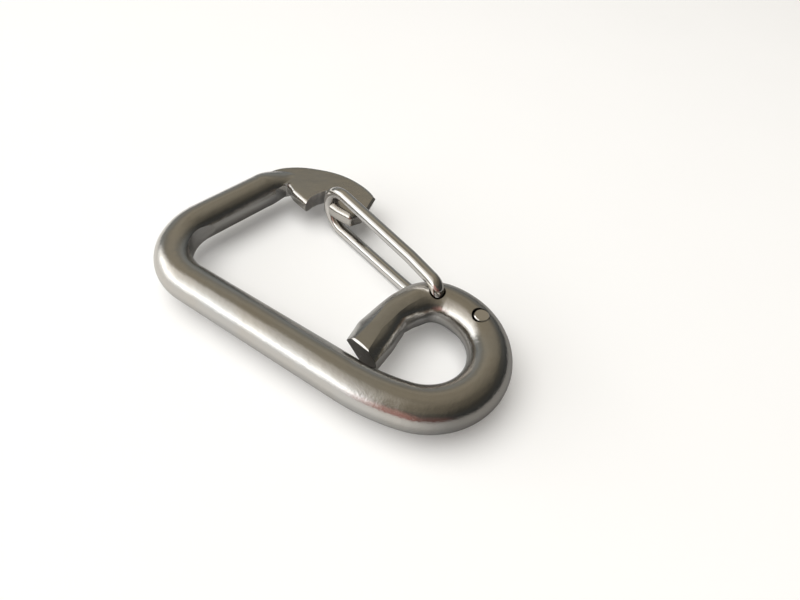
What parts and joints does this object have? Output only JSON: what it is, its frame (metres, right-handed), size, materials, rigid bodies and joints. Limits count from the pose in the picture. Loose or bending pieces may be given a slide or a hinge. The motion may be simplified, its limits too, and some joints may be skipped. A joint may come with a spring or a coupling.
{
  "type": "asymmetric snap hook",
  "caption": "Bent round-bar snap hook with a fixed eye, a flattened latch nose and an inward-opening spring wire gate.",
  "frame": {"origin": "centre of the eye, in the mid-plane of the bar", "axes": "+X from the head of the hook towards the eye, along the straight spine; +Y from the spine towards the gate; +Z square to the plane of the hook, up when the hook lies flat"},
  "size_m": [0.0978, 0.0623, 0.017],
  "materials": {
    "bar_steel": "barrel-polished stainless steel with a fine satin grain",
    "wire_steel": "bright drawn stainless spring wire"
  },
  "bodies": {
    "frame": {"hook_body": "bar_steel"},
    "gate_upper": {"gate_wire_upper": "wire_steel"},
    "gate_lower": {"gate_wire_lower": "wire_steel"}
  },
  "joints": [
    {"name": "gate_swing", "type": "hinge", "parent": "frame", "child": "gate_upper", "pos_m": [-0.00415, 0.01335, 0], "axis": [0, 0, 1], "range_deg": [0, 30], "stiffness_Nm_per_rad": 0.35, "springref_deg": -20.05},
    {"name": "wire_twist", "type": "hinge", "parent": "gate_upper", "child": "gate_lower", "pos_m": [-0.0487, 0.02962, 0], "axis": [0, 0, 1], "range_deg": [-6.5, 0.5]}
  ],
  "couplings": [
    {"joint": "wire_twist", "follows": "gate_swing", "ratio": -0.207}
  ]
}
